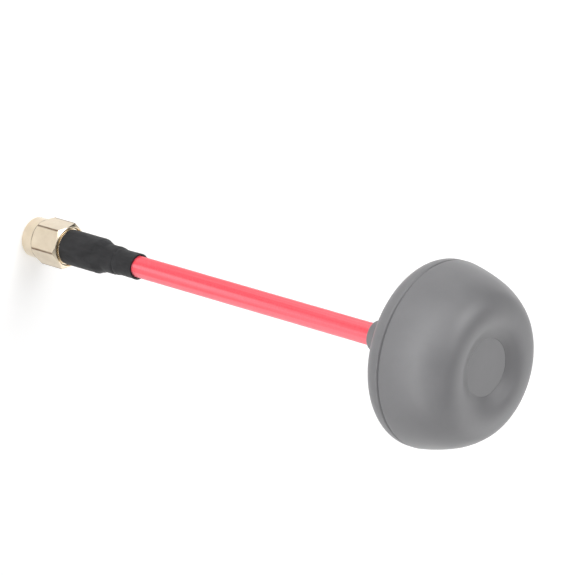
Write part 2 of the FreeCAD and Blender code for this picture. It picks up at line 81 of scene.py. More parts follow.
# %% [markdown]
# ## Putting shader nodes together
#
# Each finish below is a small network of nodes. Clicking one together by hand is slow to repeat,
# so three helpers do the wiring: one adds a node and fills in its sockets, one makes a grain from
# noise that can be stretched along any direction, and one turns a grain into a soft bump.

# %% Helpers for shader nodes
def add_node(tree, kind, inputs=None, **settings):
    """Add a node. Its inputs are numbers, colours or the sockets of other nodes."""
    node = tree.nodes.new(kind)
    for name, value in settings.items():
        setattr(node, name, value)
    for name, value in (inputs or {}).items():
        if isinstance(value, bpy.types.NodeSocket):
            tree.links.new(value, node.inputs[name])
        else:
            node.inputs[name].default_value = value
    return node


def grain(tree, stretch, detail=3.0, rough=0.55, warp=0.0):
    """Noise over the object's own metres. stretch is how many grains fit in a metre, per axis."""
    place = add_node(tree, "ShaderNodeTexCoord")
    scaled = add_node(
        tree, "ShaderNodeMapping", {"Vector": place.outputs["Object"], "Scale": stretch}
    )
    noise_node = add_node(
        tree,
        "ShaderNodeTexNoise",
        {
            "Vector": scaled.outputs["Vector"],
            "Scale": 1.0,
            "Detail": detail,
            "Roughness": rough,
            "Distortion": warp,
        },
    )
    return noise_node.outputs["Fac"]


def spread(tree, value, low, high, start=0.3, end=0.7):
    """Stretch the middle of a grain over a range from low to high."""
    node = add_node(
        tree,
        "ShaderNodeMapRange",
        {"Value": value, "From Min": start, "From Max": end, "To Min": low, "To Max": high},
    )
    return node.outputs["Result"]


def tint(tree, value, first, second):
    """Go from one colour to another as a grain goes from 0 to 1."""
    node = add_node(
        tree,
        "ShaderNodeMix",
        {0: value, 6: (*first, 1.0), 7: (*second, 1.0)},
        data_type="RGBA",
    )
    return node.outputs[2]


def relief(tree, height, depth_mm, below=None):
    """Bump of a given depth. below is the bump that it lies on."""
    inputs = {"Height": height, "Distance": depth_mm * MM, "Strength": 1.0}
    if below is not None:
        inputs["Normal"] = below
    return add_node(tree, "ShaderNodeBump", inputs).outputs["Normal"]


def new_finish(name, **constants):
    """A material whose shader has the given constant sockets."""
    material = bpy.data.materials.new(name)
    material.use_nodes = True
    shader = material.node_tree.nodes["Principled BSDF"]
    for socket, value in constants.items():
        shader.inputs[socket.replace("_", " ")].default_value = value
    return material, material.node_tree, shader.inputs


# %% [markdown]
# ## Floor, walls and light
#
# The object stands on a white sheet in a soft white studio. A lamp close to the object would give
# a hard spot in the gold, so the light comes from the whole room: the world shader holds a few
# wide soft lamps, each a direction with a brightness that fades away from it, and a few dark flags
# that take light away in the same manner. The camera sees plain white behind the object. Mirrors
# see walls of the same white with the lamps and flags on them, because gold that mirrored grey
# walls would look dirty.

# %% Studio walls
WALL_LIGHT = 0.54
WALL_PANELS = [
    # direction of the middle (azimuth, elevation), how tight it is, and what it adds
    (-176.0, 52.0, 15.0, 5.3),
    (-78.0, -4.0, 21.0, 5.1),
    (-75.0, 26.0, 9.7, -1.4),
    (158.0, 28.0, 6.8, -1.4),
    (75.0, 38.0, 7.4, 1.8),
    (-41.0, -10.0, 11.0, 5.4),
    (-114.0, -11.5, 7.5, 4.6),
    (81.0, 76.5, 5.5, -1.4),
]
DARKEST = 0.10


def toward(azimuth, elevation):
    """Unit vector for a direction in degrees."""
    a = math.radians(azimuth)
    e = math.radians(elevation)
    return (math.cos(a) * math.cos(e), math.sin(a) * math.cos(e), math.sin(e))


def add_panel(tree, look, total, azimuth, elevation, tightness, amount):
    """Add one soft panel to the total brightness: amount * exp(tightness * (cos - 1))."""
    aim = add_node(
        tree,
        "ShaderNodeVectorMath",
        {0: look, 1: toward(azimuth, elevation)},
        operation="DOT_PRODUCT",
    )
    power = add_node(
        tree,
        "ShaderNodeMath",
        {0: aim.outputs["Value"], 1: tightness, 2: -tightness},
        operation="MULTIPLY_ADD",
    )
    fade = add_node(tree, "ShaderNodeMath", {0: power.outputs[0]}, operation="EXPONENT")
    return add_node(
        tree,
        "ShaderNodeMath",
        {0: fade.outputs[0], 1: amount, 2: total},
        operation="MULTIPLY_ADD",
    ).outputs[0]


world = bpy.data.worlds.new("white_studio")
bpy.context.scene.world = world
world.use_nodes = True
sky = world.node_tree
look = add_node(sky, "ShaderNodeTexCoord").outputs["Generated"]
path = add_node(sky, "ShaderNodeLightPath")
total = add_node(
    sky,
    "ShaderNodeMath",
    {0: path.outputs["Is Glossy Ray"], 1: 1.0 - WALL_LIGHT, 2: WALL_LIGHT},
    operation="MULTIPLY_ADD",
).outputs[0]
for panel in WALL_PANELS:
    total = add_panel(sky, look, total, *panel)
brightness = add_node(
    sky, "ShaderNodeMath", {0: total, 1: DARKEST}, operation="MAXIMUM"
).outputs[0]
room = sky.nodes["Background"]
sky.links.new(brightness, room.inputs["Strength"])
room.inputs["Color"].default_value = (1.0, 1.0, 1.0, 1.0)
white_card = add_node(sky, "ShaderNodeBackground", {"Color": (1, 1, 1, 1), "Strength": 1.0})
seen = add_node(
    sky,
    "ShaderNodeMath",
    {0: path.outputs["Is Camera Ray"], 1: path.outputs["Is Transmission Ray"]},
    operation="MAXIMUM",
)
choose = add_node(
    sky,
    "ShaderNodeMixShader",
    {0: seen.outputs[0], 1: room.outputs[0], 2: white_card.outputs[0]},
)
sky.links.new(choose.outputs[0], sky.nodes["World Output"].inputs["Surface"])
print("soft lamps and flags:", len(WALL_PANELS))

# %% [markdown]
# ## The white sheet under the antenna
#
# A white floor lit by a white room comes out a little grey. A touch of its own light, seen only by
# the camera and by mirrors, lifts it to white again and leaves the soft shadow round the plug.

# %% Floor
FLOOR_HALF = 3.0
FLOOR_WHITE = 0.86
FLOOR_LIFT = 0.34
FLOOR_DROP = 0.05

sheet_mesh = bmesh.new()
bmesh.ops.create_grid(sheet_mesh, x_segments=24, y_segments=24, size=FLOOR_HALF)
bmesh.ops.translate(sheet_mesh, verts=sheet_mesh.verts, vec=(0.0, 0.0, -FLOOR_DROP * MM))
floor_mesh = bpy.data.meshes.new("studio_floor")
sheet_mesh.to_mesh(floor_mesh)
sheet_mesh.free()
floor = bpy.data.objects.new("studio_floor", floor_mesh)
bpy.context.collection.objects.link(floor)
paper, paper_tree, paper_in = new_finish("white_paper", Roughness=0.9, Specular_IOR_Level=0.0)
paper_in["Base Color"].default_value = (FLOOR_WHITE, FLOOR_WHITE, FLOOR_WHITE, 1.0)
paper_in["Emission Color"].default_value = (1.0, 1.0, 1.0, 1.0)
rays = add_node(paper_tree, "ShaderNodeLightPath")
either = add_node(
    paper_tree,
    "ShaderNodeMath",
    {0: rays.outputs["Is Camera Ray"], 1: rays.outputs["Is Glossy Ray"]},
    operation="MAXIMUM",
)
lift = add_node(
    paper_tree,
    "ShaderNodeMath",
    {0: either.outputs[0], 1: rays.outputs["Is Transmission Ray"]},
    operation="MAXIMUM",
)
glow = add_node(
    paper_tree, "ShaderNodeMath", {0: lift.outputs[0], 1: FLOOR_LIFT}, operation="MULTIPLY"
)
paper_tree.links.new(glow.outputs[0], paper_in["Emission Strength"])
floor_mesh.materials.append(paper)
print("floor size in metres:", 2 * FLOOR_HALF)

# %% [markdown]
# ## Turning a piece
#
# Nearly every piece of the antenna is turned: it has one outline that goes round the axis. A Screw
# modifier could spin an outline, but then every ring is a perfect circle. The helper here makes the
# rings itself, from a closed outline of (radius, height) points, and lets a piece bend each point
# as it goes round. The hexagon, the thread and the wrinkles in the sleeve all come from that.

# %% Helper: turn an outline into a mesh
def evenly(count):
    """Angles evenly spaced round the axis."""
    return [2 * math.pi * step / count for step in range(count)]


def make_piece(name, mesh_data, body, finish, sharp=40.0):
    """Finish a mesh: smooth shading, sharp edges where it turns hard, material and body."""
    bmesh.ops.recalc_face_normals(mesh_data, faces=mesh_data.faces)
    mesh = bpy.data.meshes.new(name)
    mesh_data.to_mesh(mesh)
    mesh_data.free()
    mesh.shade_smooth()
    mesh.set_sharp_from_angle(angle=math.radians(sharp))
    mesh.materials.append(finish)
    piece = bpy.data.objects.new(name, mesh)
    bpy.context.collection.objects.link(piece)
    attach(piece, body)
    print(name, "faces:", len(mesh.polygons))
    return piece


def turned_mesh(outline, angles, bend=None):
    """Rings of points round the axis for a closed outline of (radius, height) in millimetres."""
    mesh_data = bmesh.new()
    rings = []
    for index, (radius, height) in enumerate(outline):
        if radius < 1e-6:
            rings.append([mesh_data.verts.new((0.0, 0.0, height * MM))])
            continue
        ring = []
        for angle in angles:
            r, z = bend(index, radius, height, angle) if bend else (radius, height)
            ring.append(
                mesh_data.verts.new((r * math.cos(angle) * MM, r * math.sin(angle) * MM, z * MM))
            )
        rings.append(ring)
    for first, second in zip(rings, rings[1:] + rings[:1]):
        if len(first) == 1 and len(second) == 1:
            continue
        for step in range(len(angles)):
            after = (step + 1) % len(angles)
            if len(first) == 1:
                corners = (first[0], second[after], second[step])
            elif len(second) == 1:
                corners = (first[step], first[after], second[0])
            else:
                corners = (first[step], first[after], second[after], second[step])
            mesh_data.faces.new(corners)
    return mesh_data


# %% [markdown]
# ## Rounded corners
#
# No real edge is perfectly sharp. A moulded, turned or cut edge has a small radius, and that radius
# is what catches the light. A Bevel modifier would do it after the fact. Here each corner of the
# outline is replaced by a short arc before the piece is turned, so the radius is exact.

# %% Helper: round the corners of an outline
def soften(corners, default=0.05, steps=4, special=None):
    """Replace each corner by an arc. special gives other radii by the number of the corner."""
    special = special or {}
    outline = []
    count = len(corners)
    for index in range(count):
        here = Vector(corners[index])
        before = Vector(corners[index - 1])
        after = Vector(corners[(index + 1) % count])
        radius = special.get(index, default)
        back = (before - here).normalized()
        ahead = (after - here).normalized()
        half = math.acos(max(-1.0, min(1.0, back.dot(ahead)))) / 2
        if radius <= 0 or here.x < 1e-6 or half > math.radians(85):
            outline.append(tuple(here))
            continue
        shorter = min((before - here).length, (after - here).length)
        reach = min(radius / math.tan(half), 0.45 * shorter)
        radius = reach * math.tan(half)
        centre = here + (back + ahead).normalized() * (radius / math.sin(half))
        start = here + back * reach - centre
        end = here + ahead * reach - centre
        sweep = start.angle_signed(end)
        for step in range(steps + 1):
            turn = Matrix.Rotation(-sweep * step / steps, 2)
            outline.append(tuple(centre + turn @ start))
    return outline


def along(start, end, count):
    """Points from start towards end, without the end."""
    return [
        (
            start[0] + (end[0] - start[0]) * step / count,
            start[1] + (end[1] - start[1]) * step / count,
        )
        for step in range(count)
    ]


# %% [markdown]
# ## Grey moulded plastic
#
# The head is moulded in a satin grey plastic. Up close such a surface has a very fine grain from
# the mould, faint waves where the plastic shrank, and a slightly uneven gloss. Two noises do it:
# a fine one for the grain and a wide one for the waves. The colour hardly changes.

# %% Finish: grey plastic
grey_plastic, tree, sockets = new_finish("grey_plastic", IOR=1.47)
cloud = grain(tree, (160.0, 160.0, 160.0), detail=4.0)
mould_grain = grain(tree, (9000.0, 9000.0, 9000.0), detail=2.0)
tree.links.new(
    tint(tree, spread(tree, cloud, 0.0, 1.0), (0.175, 0.174, 0.180), (0.193, 0.192, 0.198)),
    sockets["Base Color"],
)
tree.links.new(spread(tree, cloud, 0.33, 0.38), sockets["Roughness"])
waves = relief(tree, grain(tree, (90.0, 90.0, 90.0), detail=1.0), 0.02)
tree.links.new(relief(tree, mould_grain, 0.0012, waves), sockets["Normal"])
print("finish:", grey_plastic.name)

# %% [markdown]
# ## Red sheath
#
# The stem's sheath is a thin red plastic tube with a satin gloss. Drawing it through a die leaves
# faint lines along its length, and the plastic carries fine specks. The lines are a noise that is
# stretched a hundred times along z, and the specks a fine one that isn't stretched. A third noise,
# wider and just as stretched, lets the red run deeper and paler in streaks.

# %% Finish: red sheath
red_sheath, tree, sockets = new_finish("red_sheath", IOR=1.5)
drawn_lines = grain(tree, (2600.0, 2600.0, 24.0), detail=2.0)
specks = grain(tree, (5200.0, 5200.0, 5200.0), detail=1.0)
streaks = grain(tree, (820.0, 820.0, 7.0), detail=2.0)
paleness = add_node(
    tree,
    "ShaderNodeMath",
    {
        0: spread(tree, streaks, 0.0, 0.75, 0.38, 0.62),
        1: spread(tree, specks, 0.0, 0.25, 0.35, 0.75),
    },
    operation="ADD",
)
tree.links.new(
    tint(tree, paleness.outputs[0], (0.95, 0.057, 0.085), (0.97, 0.205, 0.250)),
    sockets["Base Color"],
)
tree.links.new(spread(tree, drawn_lines, 0.30, 0.46), sockets["Roughness"])
lines_bump = relief(tree, drawn_lines, 0.006)
tree.links.new(relief(tree, specks, 0.004, lines_bump), sockets["Normal"])
print("finish:", red_sheath.name)

# %% [markdown]
# ## Black shrink tube
#
# Shrink tube is dull black with a faint leathery texture. It gets shinier where it is stretched
# over an edge. The texture is a noise with a bit of distortion, and the roughness follows a wider
# noise, so that the gloss comes and goes along the tube.

# %% Finish: black shrink tube
black_shrink, tree, sockets = new_finish("black_shrink", IOR=1.38)
leather = grain(tree, (2400.0, 2400.0, 1500.0), detail=3.0, warp=0.6)
patches = grain(tree, (260.0, 260.0, 160.0), detail=2.0)
rubbed_folds = grain(tree, (420.0, 420.0, 150.0), detail=3.0, warp=0.5)
tree.links.new(
    tint(tree, spread(tree, rubbed_folds, 0.0, 1.0), (0.002, 0.002, 0.003), (0.024, 0.024, 0.026)),
    sockets["Base Color"],
)
tree.links.new(spread(tree, patches, 0.48, 0.66), sockets["Roughness"])
creases = relief(tree, patches, 0.09)
tree.links.new(relief(tree, leather, 0.008, creases), sockets["Normal"])
print("finish:", black_shrink.name)

# %% [markdown]
# ## Gold plate
#
# Gold plate over brass keeps every mark that the lathe left under it: rings so fine that they only
# widen the reflections a little. The marks depend on the distance from the axis and on z, and not
# on the angle, so the noise is fed with just those two numbers. A wider noise clouds the gloss.

# %% Helpers and finish: plated and turned metal
def turned_place(tree):
    """Where a point is on a turned piece: its distance from the axis, and its height."""
    place = add_node(tree, "ShaderNodeTexCoord")
    parts = add_node(tree, "ShaderNodeSeparateXYZ", {0: place.outputs["Object"]})
    flat = add_node(tree, "ShaderNodeCombineXYZ", {"X": parts.outputs[0], "Y": parts.outputs[1]})
    radius = add_node(tree, "ShaderNodeVectorMath", {0: flat.outputs[0]}, operation="LENGTH")
    return radius.outputs["Value"], parts.outputs[2]


def lathe_marks(tree, per_metre, detail=3.0):
    """Noise in rings round the axis, as a cutting tool leaves them."""
    radius, height = turned_place(tree)
    ring = add_node(tree, "ShaderNodeCombineXYZ", {"X": radius, "Z": height})
    marks = add_node(
        tree,
        "ShaderNodeTexNoise",
        {"Vector": ring.outputs[0], "Scale": per_metre, "Detail": detail},
    )
    return marks.outputs["Fac"]


def metal_finish(name, dark, light, dull, bright, marks_mm, **constants):
    """Turned metal: two shades of it, two levels of gloss and lathe marks of a depth."""
    material, tree, sockets = new_finish(name, Metallic=1.0, **constants)
    cloud = grain(tree, (420.0, 420.0, 420.0), detail=4.0)
    tree.links.new(tint(tree, spread(tree, cloud, 0.0, 1.0), dark, light), sockets["Base Color"])
    tree.links.new(spread(tree, cloud, dull, bright), sockets["Roughness"])
    tree.links.new(relief(tree, lathe_marks(tree, 14000.0), marks_mm), sockets["Normal"])
    print("finish:", name)
    return material


gold_plate = metal_finish(
    "gold_plate", (0.70, 0.60, 0.46), (0.78, 0.69, 0.55), 0.14, 0.08, 0.0004
)

# %% [markdown]
# ## Painted dark edges and painted corner shade on the nut
#
# The nut gets a thin brown line along its six edges, which is a painted dark reflection, and a
# brown ring in the corner between its collar and its hexagon, which is painted shade. Painting a
# mask by hand would have to be redone with every change of size. Both places are known by their
# distance from the axis and their height, so the shader works them out: it mixes brown into the
# gold's own colour there and dulls it.

# %% Finish: gold with painted dark edges and painted corner shade
# Distances from the axis where the painted dark reflection along the hexagon's edges starts and is
# full.
PAINTED_EDGE_FROM = 4.46
PAINTED_EDGE_FULL = 4.57
# Height, half width, radius and softness of the painted shade in the corner between collar and
# hexagon.
CORNER_SHADE_HEIGHT = 2.80
CORNER_SHADE_REACH = 0.22
CORNER_SHADE_RADIUS = 4.20
CORNER_SHADE_EDGE = 0.1
# Brown of the painted dark reflection and the painted shade; DULLING raises the roughness there.
SHADE_BROWN = (0.13, 0.065, 0.03)
DULLING = 0.18

gold_with_painted_shading = gold_plate.copy()
gold_with_painted_shading.name = "gold_with_painted_shading"
tree = gold_with_painted_shading.node_tree
sockets = tree.nodes["Principled BSDF"].inputs
plating = sockets["Base Color"].links[0].from_socket
gloss = sockets["Roughness"].links[0].from_socket
from_axis, up_axis = turned_place(tree)
# Painted dark reflection: brown along the six edges, where the hexagon reaches furthest from the
# axis.
painted_edge = spread(tree, from_axis, 0.0, 1.0, PAINTED_EDGE_FROM * MM, PAINTED_EDGE_FULL * MM)
# Painted shade: a brown ring in the corner between the collar and the hexagon.
near = spread(tree, from_axis, 1.0, 0.0, (CORNER_SHADE_RADIUS - CORNER_SHADE_EDGE) * MM, CORNER_SHADE_RADIUS * MM)
line_start, line_end = CORNER_SHADE_HEIGHT - CORNER_SHADE_REACH, CORNER_SHADE_HEIGHT + CORNER_SHADE_REACH
rising = spread(tree, up_axis, 0.0, 1.0, line_start * MM, CORNER_SHADE_HEIGHT * MM)
falling = spread(tree, up_axis, 1.0, 0.0, CORNER_SHADE_HEIGHT * MM, line_end * MM)
ring = add_node(tree, "ShaderNodeMath", {0: rising, 1: falling}, operation="MULTIPLY")
corner_shade = add_node(tree, "ShaderNodeMath", {0: ring.outputs[0], 1: near}, operation="MULTIPLY")
both = add_node(tree, "ShaderNodeMath", {0: painted_edge, 1: corner_shade.outputs[0]}, operation="MAXIMUM")
patchy = spread(tree, grain(tree, (1500.0, 1500.0, 700.0)), 0.60, 1.0)
painted_dark_mask = add_node(tree, "ShaderNodeMath", {0: both.outputs[0], 1: patchy}, operation="MULTIPLY")
# Mix the brown into the gold: painted dark reflection on the edges, painted shade in the corner.
painted_dark_colour = add_node(
    tree,
    "ShaderNodeMix",
    {0: painted_dark_mask.outputs[0], 6: plating, 7: (*SHADE_BROWN, 1.0)},
    data_type="RGBA",
)
tree.links.new(painted_dark_colour.outputs[2], sockets["Base Color"])
dulled = add_node(
    tree,
    "ShaderNodeMath",
    {0: painted_dark_mask.outputs[0], 1: DULLING, 2: gloss},
    operation="MULTIPLY_ADD",
)
tree.links.new(dulled.outputs[0], sockets["Roughness"])
print("finish:", gold_with_painted_shading.name)

# %% [markdown]
# ## The small parts' finishes
#
# Inside the plug and the head are parts that few people ever see: springs, solder, wires and the
# white insulator. They still get the finish of their real material, because someone may open the
# model or look into the plug's mouth. The metals use the helper above with other shades.

# %% Finishes: the hidden metals
spring_bronze = metal_finish(
    "spring_bronze", (0.52, 0.34, 0.18), (0.66, 0.46, 0.26), 0.38, 0.28, 0.0010
)
solder = metal_finish("solder", (0.60, 0.60, 0.62), (0.76, 0.76, 0.78), 0.42, 0.24, 0.0)
silvered_wire = metal_finish(
    "silvered_wire", (0.78, 0.76, 0.72), (0.88, 0.87, 0.84), 0.26, 0.18, 0.0005
)
tinned_copper = metal_finish(
    "tinned_copper", (0.62, 0.62, 0.63), (0.75, 0.75, 0.75), 0.40, 0.30, 0.0010
)
copper_wire = metal_finish(
    "copper_wire", (0.66, 0.30, 0.16), (0.80, 0.40, 0.23), 0.24, 0.16, 0.0, Coat_Weight=0.7
)

# %% [markdown]
# ## Insulator, gasket and adhesive
#
# The white insulator is waxy: light goes a little way into it, so it gets a little scattering. The
# gasket is matt silicone rubber with a fine grain. The adhesive is a cloudy amber bead.

# %% Finishes: insulator, gasket, adhesive
ptfe, tree, sockets = new_finish(
    "ptfe", IOR=1.38, Subsurface_Weight=0.15, Subsurface_Scale=0.0004
)
wax = grain(tree, (700.0, 700.0, 700.0))
tree.links.new(
    tint(tree, wax, (0.86, 0.86, 0.83), (0.93, 0.93, 0.91)), sockets["Base Color"]
)
tree.links.new(spread(tree, wax, 0.42, 0.55), sockets["Roughness"])
tree.links.new(relief(tree, lathe_marks(tree, 9000.0), 0.0015), sockets["Normal"])

gasket_rubber, tree, sockets = new_finish("gasket_rubber", IOR=1.42)
rubber_grain = grain(tree, (6000.0, 6000.0, 6000.0))
tree.links.new(
    tint(tree, rubber_grain, (0.46, 0.10, 0.06), (0.60, 0.17, 0.11)), sockets["Base Color"]
)
tree.links.new(spread(tree, rubber_grain, 0.62, 0.75), sockets["Roughness"])
tree.links.new(relief(tree, rubber_grain, 0.004), sockets["Normal"])

adhesive, tree, sockets = new_finish("adhesive", IOR=1.5, Transmission_Weight=0.35)
cloudy = grain(tree, (900.0, 900.0, 900.0), warp=0.4)
tree.links.new(tint(tree, cloudy, (0.78, 0.70, 0.52), (0.90, 0.85, 0.72)), sockets["Base Color"])
tree.links.new(spread(tree, cloudy, 0.12, 0.30), sockets["Roughness"])
tree.links.new(relief(tree, cloudy, 0.02), sockets["Normal"])
print("finishes:", ptfe.name, gasket_rubber.name, adhesive.name)

# %% [markdown]
# ## The dome
#
# The upper half of the head is a moulded dome. Its side leans in a little, leans more towards the
# top, rolls over in a tight curve and drops into a dish with a round flat in the middle. A sculpted
# sphere would only come near to that. The side is drawn as three arcs that meet without a kink, so
# the light runs over them in one unbroken sweep.

# %% Outline of the dome
PARTING = 102.0
WALL = 1.3
DOME_RADIUS = 17.0
CAP_SKIRT = 0.35
PARTING_BEVEL = 0.26
PARTING_DEPTH = 0.36
LEANS = [9.0, 19.0, 37.0, 115.0]
BENDS = [33.4267, 13.5, 5.2]
ARC_STEPS = [12, 14, 56]
DISH_RADIUS = 5.3
DISH_STEP = 0.12
DISH_BLEND = 0.9
DISH_EDGE = 0.10


def dome_side(inward):
    """Points up the dome's side, moved inwards by a distance, and where the last arc ends."""
    radius, height = DOME_RADIUS, PARTING + CAP_SKIRT
    side = []
    for bend, lean, next_lean, steps in zip(BENDS, LEANS, LEANS[1:], ARC_STEPS):
        first, last = math.radians(lean), math.radians(next_lean)
        centre = (radius - bend * math.cos(first), height - bend * math.sin(first))
        for step in range(steps):
            turn = first + (last - first) * step / steps
            reach = bend - inward
            side.append((centre[0] + reach * math.cos(turn), centre[1] + reach * math.sin(turn)))
        radius = centre[0] + bend * math.cos(last)
        height = centre[1] + bend * math.sin(last)
    lean = math.radians(LEANS[-1])
    return side, (radius - inward * math.cos(lean), height - inward * math.sin(lean))


dome_out, dish_rim = dome_side(0.0)
dome_in, ceiling_rim = dome_side(WALL)
dish_slope = math.tan(math.radians(LEANS[-1] - 90.0))
dish_foot = dish_rim[1] - (dish_rim[0] - DISH_RADIUS) * dish_slope
dish_floor = dish_foot - DISH_STEP
ceiling = dish_floor - WALL
ceiling_radius = ceiling_rim[0] - (ceiling_rim[1] - ceiling) / dish_slope
print("crown height:", round(max(z for _, z in dome_out), 3), "dish floor:", round(dish_floor, 3))

# %% [markdown]
# ### Turning the dome
#
# The real dome is a shell of even thickness with a short bevelled skirt, where it meets the lower
# half. A Solidify modifier could give a surface its thickness. Here the same three arcs are drawn a
# second time, one wall further in, so that the shell is closed and its thickness is exact.

# %% Turn the dome
HEAD_SIDES = 288

skirt = soften(
    [
        (dome_in[0][0], PARTING),
        (DOME_RADIUS - PARTING_DEPTH, PARTING),
        (DOME_RADIUS, PARTING + PARTING_BEVEL),
        (DOME_RADIUS, PARTING + CAP_SKIRT),
        (dome_in[0][0], PARTING + CAP_SKIRT),
    ],
    special={0: 0.0, 1: 0.04, 2: 0.08, 3: 0.0, 4: 0.0},
)[:-2]
blend_start = (DISH_RADIUS + DISH_BLEND, dish_foot + DISH_BLEND * dish_slope)
dish = [
    *along(dish_rim, blend_start, 8),
    *along(blend_start, (DISH_RADIUS + DISH_EDGE, dish_foot), 5),
    (DISH_RADIUS + DISH_EDGE, dish_foot + 0.01),
    (DISH_RADIUS + 0.04, dish_foot - 0.01),
    (DISH_RADIUS + 0.005, dish_foot - 0.05),
    (DISH_RADIUS - 0.01, dish_floor + 0.03),
    (DISH_RADIUS - 0.05, dish_floor + 0.005),
    (DISH_RADIUS - 0.12, dish_floor),
    *along((DISH_RADIUS - 0.5, dish_floor), (0.0, dish_floor), 8),
    (0.0, dish_floor),
]
underside = [
    (0.0, ceiling),
    *along((ceiling_radius / 2, ceiling), (ceiling_radius, ceiling), 2),
    (ceiling_radius, ceiling),
    ceiling_rim,
    *dome_in[::-1],
]
cap_outline = skirt + dome_out + dish + underside
dome = make_piece(
    "dome", turned_mesh(cap_outline, evenly(HEAD_SIDES)), "antenna", grey_plastic
)
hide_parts("radome_cap")

# %% [markdown]
# ## The underside of the head
#
# The lower half carries the dome and grips the stem. From the stem it starts as a short boss,
# flares into a shallow cone and ends in a rounded rim with a straight edge. A bevel on each half
# leaves a fine groove where they meet. A lip inside keeps the dome centred.

# %% Turn the underside
RIM_SKIRT = 0.85
RIM_ROUND = 2.98418
KEEL_SLOPE = math.radians(23.0)
BOSS_LENGTH = 6.35
SHEATH_RADIUS = 2.05
BOSS_END_RADIUS = 2.85
BOSS_ROOT_RADIUS = 3.3
FLOOR_RADIUS = 4.6
SPIGOT_GAP = 0.04
SPIGOT_WALL = 1.0
SPIGOT_HEIGHT = 1.0
SPIGOT_TAPER = 0.3
RIM_STEPS = 24

keel_radius = DOME_RADIUS - RIM_ROUND * (1 - math.sin(KEEL_SLOPE))
keel_height = PARTING - RIM_SKIRT - RIM_ROUND * math.cos(KEEL_SLOPE)
inner_keel_radius = keel_radius - WALL * math.sin(KEEL_SLOPE)
inner_keel_height = keel_height + WALL * math.cos(KEEL_SLOPE)
floor_height = inner_keel_height - (inner_keel_radius - FLOOR_RADIUS) * math.tan(KEEL_SLOPE)
boss_root = keel_height - (keel_radius - BOSS_ROOT_RADIUS) * math.tan(KEEL_SLOPE)
boss_end = boss_root - BOSS_LENGTH
spigot = DOME_RADIUS - WALL * math.cos(math.radians(LEANS[0])) - SPIGOT_GAP
spigot_inner = spigot - SPIGOT_WALL
wall_foot = inner_keel_height + (spigot_inner - inner_keel_radius) * math.tan(KEEL_SLOPE)

rim = []
for step in range(RIM_STEPS + 1):
    turn = -(math.pi / 2 - KEEL_SLOPE) * (1 - step / RIM_STEPS)
    rim.append(
        (
            DOME_RADIUS - RIM_ROUND * (1 - math.cos(turn)),
            PARTING - RIM_SKIRT + RIM_ROUND * math.sin(turn),
        )
    )
boss = soften(
    [
        (SHEATH_RADIUS, floor_height),
        (SHEATH_RADIUS, boss_end),
        (BOSS_END_RADIUS, boss_end),
        (BOSS_ROOT_RADIUS, boss_root),
        rim[0],
    ],
    steps=8,
    special={0: 0.0, 1: 0.05, 2: 0.22, 3: 0.8, 4: 0.0},
)[1:-1]
edge = soften(
    [
        rim[-1],
        (DOME_RADIUS, PARTING - PARTING_BEVEL),
        (DOME_RADIUS - PARTING_DEPTH, PARTING),
        (spigot, PARTING),
        (spigot - SPIGOT_TAPER, PARTING + SPIGOT_HEIGHT),
        (spigot_inner, PARTING + SPIGOT_HEIGHT),
        (spigot_inner, wall_foot),
        (FLOOR_RADIUS, floor_height),
        (SHEATH_RADIUS, floor_height),
    ],
    special={0: 0.0, 1: 0.25, 2: 0.04, 6: 0.3, 7: 0.3, 8: 0.0},
)
keel_outline = boss + rim[:-1] + edge
keel = make_piece(
    "keel", turned_mesh(keel_outline, evenly(HEAD_SIDES)), "antenna", grey_plastic
)
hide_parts("radome_base")

# %% [markdown]
# ## The red stem
#
# The stem is a stiff coaxial line in a thin red sheath. It is very nearly a plain tube, and what
# makes it look real is that it isn't quite one: the sheath swells and thins by a few hundredths of
# a millimetre along its length.

# %% Turn the sheath
COAX_RADIUS = 1.79
SHEATH_START = 23.4
SWELL = 0.018
SWELL_START = SHEATH_START + 6.0
SWELL_FADE = 2.0
SWELL_LENGTH = 7.0
SWELL_SINK = 0.004
SHEATH_STEPS = 140
SHEATH_SIDES = 96
sheath_out = along((SHEATH_RADIUS, SHEATH_START), (SHEATH_RADIUS, floor_height), SHEATH_STEPS)
sheath_outline = [
    (COAX_RADIUS, floor_height),
    (COAX_RADIUS, SHEATH_START),
    *sheath_out,
    (SHEATH_RADIUS, floor_height),
]


def swell(index, radius, height, angle):
    """Let the outside wander by a few hundredths of a millimetre between its two ends."""
    if radius < SHEATH_RADIUS or height > boss_end or height < SWELL_START:
        return radius, height
    fade = min(1.0, (boss_end - height) / SWELL_FADE, (height - SWELL_START) / SWELL_FADE)
    drift = ripple.noise(Vector((math.cos(angle), math.sin(angle), height / SWELL_LENGTH)))
    return radius + SWELL * drift * fade - SWELL_SINK, height


sheath = make_piece(
    "sheath",
    turned_mesh(sheath_outline, evenly(SHEATH_SIDES), swell),
    "antenna",
    red_sheath,
)
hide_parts("stem_sheath")

# %% [markdown]
# ## The black sleeve
#
# A shrink tube covers the joint between plug and stem. It copies what is under it, but softly: two
# rounded steps, a few creases where it fell from the thick part to the thin one, a sharper pinch
# at its last step, and a lip that was cut by hand and stands off the stem a little. The outline
# gives the steps, a noise that grows stronger near them gives the creases, and the pinch is a
# narrow dent on one side with a low swelling behind it.

